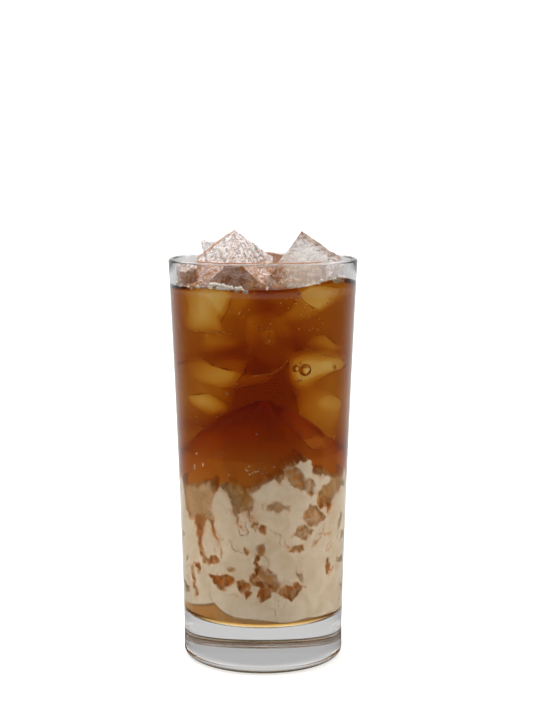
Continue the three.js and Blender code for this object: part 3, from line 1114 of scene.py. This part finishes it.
# Air bubbles: their middles in pixels, and their radii in mm
BUBBLES = [
    ((300.5, 369.0), 1.35), ((311.5, 370.5), 2.2), ((305.0, 364.0), 0.55), ((247.0, 352.0), 1.0),
    ((340.0, 366.5), 0.8),
]
# Swarms of cream specks: middle and spread in pixels, and how many there are
SPECK_SWARMS = [
    ((243, 469), 5, 5), ((250, 475), 7, 8), ((262, 472), 6, 4), ((215, 453), 7, 4), ((240, 430), 40, 9),
    ((232, 500), 10, 8), ((280, 466), 12, 4),
]
# Threads of cream: their places in pixels, and how much taller than wide they are
CREAM_THREADS = [(189.5, 466.0, 3.2), (197.5, 464.5, 2.2)]


def make_foam(material):
    """Beads of foam on the coffee, in a raft at the front left and a few more round the wall."""
    chance = random.Random(11)
    beads = []
    wall = float(inner_radius(COFFEE_LEVEL))
    for _ in range(RAFT_BEADS):
        radius = chance.uniform(0.5, 0.8)
        along = chance.random()
        px = RAFT_START[0] + RAFT_RUN[0] * along
        stray = chance.uniform(-RAFT_STRAY, RAFT_STRAY) * (1.0 - 0.3 * along)
        bearing, z = on_wall(px, RAFT_START[1] + RAFT_RUN[1] * along + stray)
        reach = float(inner_radius(z)) - 0.92 * radius
        beads.append(ball(at_bearing(bearing, reach, z), radius))
    for _ in range(WALL_BEADS):
        radius = chance.uniform(0.25, 0.6)
        bearing = chance.uniform(0.55, 5.6)
        folded = bearing if bearing < math.pi else bearing - math.tau
        height = COFFEE_LEVEL + 0.9 + float(wall_climb(np.array([folded]))[0]) + chance.uniform(-0.4, 1.2)
        beads.append(ball(at_bearing(bearing, wall - radius * 0.9, height), radius))
    piece = join(beads, "foam_beads")
    finish_piece(piece, material, "cream")


def make_rim_drops(material):
    """A line of small drops of coffee left along the front of the rim."""
    chance = random.Random(23)
    drops = []
    first, last = RIM_DROP_SPAN
    for i in range(RIM_DROPS):
        px = first + (last - first) * i / (RIM_DROPS - 1)
        bearing, _ = on_wall(px, RIM_DROP_LINE)
        radius = chance.uniform(0.32, 0.6)
        reach = float(inner_radius(GLASS_HEIGHT)) + 0.05
        drops.append(ball(at_bearing(bearing, reach, GLASS_HEIGHT + 0.05), radius, (1.0, 1.0, 0.8), 2))
    piece = join(drops, "coffee_drops")
    finish_piece(piece, material, "coffee")


def make_bubbles(material):
    """Air bubbles under the coffee, against the front wall."""
    bubbles = []
    for (px, py), radius in BUBBLES:
        bearing, z = on_wall(px, py)
        reach = float(inner_radius(z)) - radius * 0.93 - 0.1
        bubbles.append(ball(at_bearing(bearing, reach, z), radius, divisions=4))
    piece = join(bubbles, "air_bubbles")
    finish_piece(piece, material, "coffee")


# Swarms of painted glints at the ice under the coffee, small opaque cream-coloured balls: middle and spread in pixels,
# and how many there are
PAINTED_GLINT_SWARMS = [
    ((235, 312), 7, 8),
    ((262, 331), 6, 8),
    ((298, 303), 9, 14),
    ((318, 316), 9, 6),
    ((268, 342), 3, 4),
    ((338, 300), 5, 8),
    ((318, 331), 7, 5),
    ((211, 333), 8, 4),
    ((304, 381), 2.5, 6),
    ((262, 425), 30, 3),
]
# Painted highlights along the edges of that ice, where it comes near the glass, in pixels
PAINTED_EDGE_HIGHLIGHTS = [
    [(190, 330.5), (210, 331.5), (228, 333.7)],
    [(252, 376.7), (272, 374), (283, 368), (290, 360)],
    [(185, 415), (192, 424), (200, 430.7)],
    [(322, 446), (327, 440), (331, 433)],
    [(329, 446), (335, 440), (339.6, 434.5)],
    [(309, 349), (325, 353), (339, 357)],
]


def make_painted_glints(material):
    """Painted glints: small opaque amber balls in the coffee just behind the glass, at the edges of the ice, standing
    in for the light that those edges catch.
    """
    chance = random.Random(31)
    flecks = []
    for (px, py), spread, count in PAINTED_GLINT_SWARMS:
        for _ in range(count):
            spot_x = px + chance.gauss(0.0, spread)
            spot_y = max(py + chance.gauss(0.0, 0.45 * spread), 294.0)
            place = in_drink(spot_x, spot_y, chance.uniform(1.5, 4.5))
            flecks.append(ball(place, chance.uniform(0.16, 0.36), divisions=1))
    for line in PAINTED_EDGE_HIGHLIGHTS:
        for (ax, ay), (bx, by) in zip(line, line[1:]):
            steps = int(math.hypot(bx - ax, by - ay) / 1.1)
            for i in range(steps):
                share = (i + chance.uniform(0.2, 0.8)) / steps
                place = in_drink(ax + share * (bx - ax), ay + share * (by - ay), chance.uniform(3.6, 4.2))
                flecks.append(ball(place, chance.uniform(0.14, 0.24), (1.6, 1.0, 0.7), 1))
    piece = join(flecks, "painted_ice_glints")
    # Their amber colour is painted light too.
    mark(piece, "soak_and_painted_light", 0.8)
    finish_piece(piece, material, "cream")


def make_specks(material):
    """Specks and threads of cream that cling to the glass above the heap."""
    chance = random.Random(4)
    specks = []
    for (px, py), spread, count in SPECK_SWARMS:
        for _ in range(count):
            bearing, z = on_wall(px + chance.gauss(0, spread * 0.6), py + chance.gauss(0, spread * 0.45))
            radius = chance.uniform(0.12, 0.42)
            specks.append(ball(at_bearing(bearing, float(inner_radius(z)) - 0.1, z), radius, (1.3, 1.0, 0.7), 1))
    for px, py, tall in CREAM_THREADS:
        bearing, z = on_wall(px, py)
        specks.append(ball(at_bearing(bearing, float(inner_radius(z)) - 0.1, z), 0.35, (1.0, 1.0, tall), 2))
    piece = join(specks, "cream_specks")
    finish_piece(piece, material, "cream")


# The studio


def mirrored_only(tree):
    """1 for light that reaches this surface by a mirror reflection, 0 for light that went through."""
    path = add(tree, "ShaderNodeLightPath")
    both = {0: path.outputs["Is Reflection Ray"], 1: path.outputs["Is Glossy Ray"]}
    return add(tree, "ShaderNodeMath", both, operation="MULTIPLY").outputs[0]


def in_mirror(tree, axes, light):
    """What the glass mirrors low down: a dark room behind the camera, and the white sweep at the sides and back."""
    room = add(tree, "ShaderNodeMapRange", soft_step(axes.outputs["Y"], *MIRRORED_SWEEP, MIRRORED_FRONT, MIRRORED_BACK), **SOFT)
    room = room.outputs["Result"]
    high = add(tree, "ShaderNodeMapRange", soft_step(axes.outputs["Z"], *MIRRORED_HIGH, 0.0, MIRRORED_TOP), **SOFT)
    high = high.outputs["Result"]
    seen = add(tree, "ShaderNodeMath", {0: room, 1: high}, operation="ADD")
    return add(tree, "ShaderNodeMix", {0: mirrored_only(tree), 2: light, 3: seen.outputs[0]}).outputs[0]


def studio_world():
    """Soft light all round and above: brightest from the two sides, warmer and dimmer from the front."""
    world = bpy.data.worlds.new("soft_studio")
    bpy.context.scene.world = world
    world.use_nodes = True
    tree = world.node_tree
    tree.nodes.clear()
    output = add(tree, "ShaderNodeOutputWorld")
    direction = add(tree, "ShaderNodeTexCoord").outputs["Generated"]
    axes = add(tree, "ShaderNodeSeparateXYZ", {"Vector": direction})
    side = add(tree, "ShaderNodeMath", {0: axes.outputs["X"]}, operation="ABSOLUTE")
    sides = add(tree, "ShaderNodeMapRange", soft_step(side.outputs[0], *SIDE_SWEEP, 0.0, SIDE_LIGHT), **SOFT)
    sides = sides.outputs["Result"]
    ahead = add(tree, "ShaderNodeMapRange", soft_step(axes.outputs["Y"], *SIDE_TO_BACK, 1.0, 0.0), **SOFT)
    ahead = ahead.outputs["Result"]
    sides = add(tree, "ShaderNodeMath", {0: sides, 1: ahead}, operation="MULTIPLY")
    behind = add(tree, "ShaderNodeMapRange", soft_step(axes.outputs["Y"], *BACK_SWEEP, FRONT_LIGHT, BACK_LIGHT), **SOFT)
    behind = behind.outputs["Result"]
    above = add(tree, "ShaderNodeMapRange", soft_step(axes.outputs["Z"], *TOP_SWEEP, 0.0, TOP_LIGHT), **SOFT)
    above = above.outputs["Result"]
    part = add(tree, "ShaderNodeMath", {0: sides.outputs[0], 1: behind}, operation="ADD")
    towards = add(tree, "ShaderNodeVectorMath", {0: direction, 1: KEY_DIRECTION}, operation="DOT_PRODUCT")
    key = add(tree, "ShaderNodeMapRange", soft_step(towards.outputs["Value"], *KEY_SWEEP, 0.0, KEY_LIGHT), **SOFT)
    key = key.outputs["Result"]
    top = add(tree, "ShaderNodeMath", {0: above, 1: key}, operation="ADD")
    light = add(tree, "ShaderNodeMath", {0: part.outputs[0], 1: top.outputs[0]}, operation="ADD")
    kept = in_mirror(tree, axes, light.outputs[0])
    seen = add(tree, "ShaderNodeLightPath").outputs["Is Camera Ray"]
    strength = add(tree, "ShaderNodeMix", {0: seen, 2: kept, 3: 1.0})
    warmth = add(tree, "ShaderNodeMapRange", soft_step(axes.outputs["Y"], *WARM_SWEEP, 1.0, 0.0), **SOFT)
    warmth = warmth.outputs["Result"]
    near = add(tree, "ShaderNodeMath", {0: seen, 1: 1.0}, operation="LESS_THAN")
    warm = add(tree, "ShaderNodeMath", {0: warmth, 1: near.outputs[0]}, operation="MULTIPLY")
    colour = add(tree, "ShaderNodeMix", {0: warm.outputs[0]}, data_type="RGBA")
    colour.inputs[6].default_value = (1.0, 1.0, 1.0, 1.0)
    colour.inputs[7].default_value = linear("#ffe9cf")
    background = add(
        tree,
        "ShaderNodeBackground",
        {"Color": colour.outputs[2], "Strength": strength.outputs[0]},
    )
    tree.links.new(background.outputs[0], output.inputs["Surface"])


def studio_floor():
    """A plain pale floor. The camera sees it nearly white, with a faint shadow where the glass stands."""
    deselect()
    bpy.ops.mesh.primitive_plane_add(size=12.0, location=(0.0, 0.0, -0.1 * MM))
    floor = bpy.context.object
    floor.name = "studio_floor"
    material, tree, output = new_material("matt_white_sweep")
    place = add(tree, "ShaderNodeTexCoord").outputs["Object"]
    bearing = add(tree, "ShaderNodeVectorMath", {0: place}, operation="NORMALIZE").outputs["Vector"]
    axes = add(tree, "ShaderNodeSeparateXYZ", {"Vector": bearing})
    mirrored = add(tree, "ShaderNodeMapRange", soft_step(axes.outputs["Y"], *MIRRORED_SWEEP, MIRRORED_FRONT, MIRRORED_BACK), **SOFT)
    mirrored = mirrored.outputs["Result"]
    through = add(tree, "ShaderNodeMix", {0: mirrored_only(tree), 2: FLOOR_THROUGH, 3: mirrored})
    grey = add(tree, "ShaderNodeEmission", {"Strength": through.outputs[0]})
    pale = add(tree, "ShaderNodeBsdfDiffuse", {"Color": (FLOOR_GREY, FLOOR_GREY, FLOOR_GREY, 1.0)})
    lift = add(tree, "ShaderNodeEmission", {"Strength": FLOOR_LIFT})
    bright = add(tree, "ShaderNodeAddShader", {0: pale.outputs[0], 1: lift.outputs[0]})
    seen = add(tree, "ShaderNodeLightPath").outputs["Is Camera Ray"]
    mix = add(tree, "ShaderNodeMixShader", {0: seen, 1: grey.outputs[0], 2: bright.outputs[0]})
    tree.links.new(mix.outputs[0], output.inputs["Surface"])
    floor.data.materials.append(material)


def photograph_camera():
    data = bpy.data.cameras.new("photograph")
    data.lens = LENS
    data.sensor_width = SENSOR
    data.clip_start = 0.01
    camera = bpy.data.objects.new("photograph", data)
    bpy.context.scene.collection.objects.link(camera)
    camera.location = [c * MM for c in CAMERA_PLACE]
    camera.rotation_euler = (math.radians(90.0 - CAMERA_PITCH), 0.0, 0.0)
    bpy.context.scene.camera = camera


def light_paths():
    """Enough bounces for light to cross the glass, the coffee and the ice."""
    scene = bpy.context.scene
    scene.view_settings.view_transform = "Standard"
    scene.cycles.max_bounces = 48
    scene.cycles.transmission_bounces = 32
    scene.cycles.glossy_bounces = 24
    scene.cycles.diffuse_bounces = 4
    scene.cycles.transparent_max_bounces = 16


photograph_camera()
studio_world()
studio_floor()
light_paths()

ice_in_air = melting_ice()
ivory_cream = dairy_cream()
make_tumbler(soda_lime_glass(), wetted_glass(), ground_glass_painted_shade())
ice_surfaces = make_proud_ice(ice_in_air)
sunk_ice = make_sunk_ice()
make_coffee(brewed_coffee(), ice_surfaces, sunk_ice)
finish_sunk_ice(sunk_ice, drowned_ice())
make_syrup(sugar_syrup())
make_cream(ivory_cream)
make_foam(foam_film())
make_rim_drops(coffee_drops())
make_bubbles(trapped_air())
make_specks(ivory_cream)
make_painted_glints(ivory_cream)
